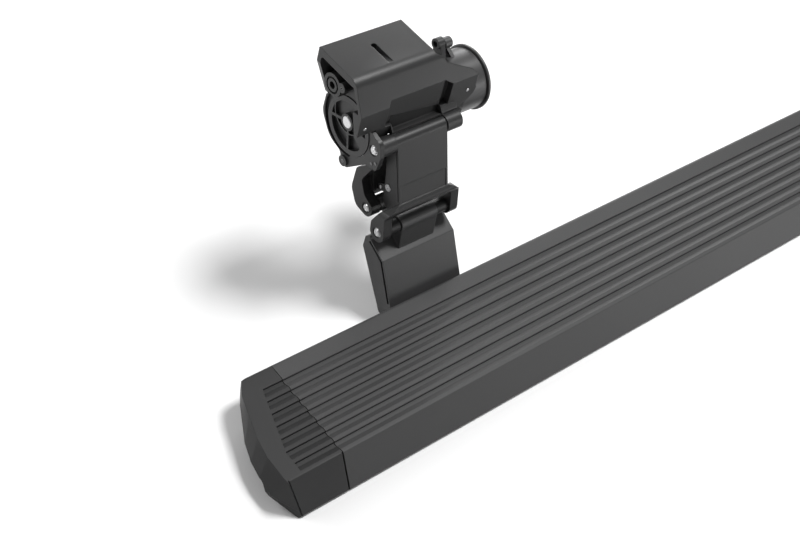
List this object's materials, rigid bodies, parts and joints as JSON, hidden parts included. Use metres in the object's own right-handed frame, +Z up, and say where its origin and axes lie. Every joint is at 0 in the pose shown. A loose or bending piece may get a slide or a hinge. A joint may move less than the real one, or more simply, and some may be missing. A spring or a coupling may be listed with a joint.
{
  "type": "power running board",
  "caption": "Ribbed step board hung from two swing linkages, the front one turned by a motor and gear case, that drops out to step on and folds up under a vehicle's sill.",
  "frame": {"origin": "on the flat top face of the front housing, above the middle of its swing link", "axes": "+X along the board towards the rear of the vehicle, +Y inboard towards the vehicle, +Z up"},
  "size_m": [1.9634, 0.3512, 0.3161],
  "materials": {
    "housing_casting": "satin black coated casting",
    "gear_case_casting": "satin black coated casting",
    "link_casting": "satin black coated casting",
    "arm_forging": "satin black coated forging",
    "bracket_casting": "satin black coated casting",
    "board_coating": "fine textured black powder coat",
    "cap_plastic": "matte moulded black",
    "motor_paint": "satin black paint",
    "seal_rubber": "matte",
    "gland_plastic": "matte",
    "bright_steel": "turned bright",
    "dark_steel": "dark plated",
    "plug_steel": "plated",
    "bush_bronze": "plain sintered"
  },
  "bodies": {
    "housings": {"front_housing": "housing_casting", "gear_case_plate": "gear_case_casting", "gear_cover": "gear_case_casting", "bearing_plug": "bright_steel", "plate_screws": "dark_steel", "face_screws": "bright_steel", "front_upper_pin": "bright_steel", "motor_can": "motor_paint", "motor_seal": "seal_rubber", "motor_end_plate": "motor_paint", "motor_bolt": "dark_steel", "cable_gland": "gland_plastic", "rear_housing": "housing_casting", "rear_upper_pin": "bright_steel"},
    "front_link": {"front_main_link": "link_casting", "front_link_bushes": "bush_bronze", "front_link_plug": "plug_steel", "front_link_dowel": "bright_steel", "front_lower_pin": "bright_steel", "front_pin_spacers": "gland_plastic"},
    "front_arm": {"front_drive_arm": "arm_forging", "drive_shaft": "bright_steel"},
    "board": {"board_extrusion": "board_coating", "left_end_cap": "cap_plastic", "right_end_cap": "cap_plastic", "left_cap_screws": "dark_steel", "right_cap_screws": "dark_steel", "front_swing_bracket": "bracket_casting", "front_bracket_bushes": "bush_bronze", "front_arm_pin": "bright_steel", "front_foot_bolts": "dark_steel", "rear_swing_bracket": "bracket_casting", "rear_bracket_bushes": "bush_bronze", "rear_arm_pin": "bright_steel", "rear_foot_bolts": "dark_steel"},
    "rear_link": {"rear_main_link": "link_casting", "rear_link_bushes": "bush_bronze", "rear_link_plug": "plug_steel", "rear_link_dowel": "bright_steel", "rear_lower_pin": "bright_steel", "rear_pin_spacers": "gland_plastic"},
    "rear_arm": {"rear_idler_arm": "arm_forging", "idler_shaft": "bright_steel"}
  },
  "joints": [
    {"name": "front_link_swing", "type": "hinge", "parent": "housings", "child": "front_link", "pos_m": [0, -0.0675, -0.088], "axis": [1, 0, 0], "range_deg": [0, 85]},
    {"name": "board_level", "type": "hinge", "parent": "front_link", "child": "board", "pos_m": [0, -0.099, -0.199], "axis": [1, 0, 0], "range_deg": [-85, 0]},
    {"name": "front_arm_swing", "type": "hinge", "parent": "housings", "child": "front_arm", "pos_m": [0, -0.0363, -0.0763], "axis": [1, 0, 0], "range_deg": [0, 85]},
    {"name": "rear_link_swing", "type": "hinge", "parent": "housings", "child": "rear_link", "pos_m": [1.2912, -0.0675, -0.088], "axis": [1, 0, 0], "range_deg": [0, 85]},
    {"name": "rear_arm_swing", "type": "hinge", "parent": "housings", "child": "rear_arm", "pos_m": [1.2912, -0.0363, -0.0763], "axis": [1, 0, 0], "range_deg": [0, 85]}
  ],
  "couplings": [
    {"joint": "board_level", "follows": "front_link_swing", "ratio": -1},
    {"joint": "front_arm_swing", "follows": "front_link_swing", "ratio": 1},
    {"joint": "rear_link_swing", "follows": "front_link_swing", "ratio": 1},
    {"joint": "rear_arm_swing", "follows": "front_link_swing", "ratio": 1}
  ]
}
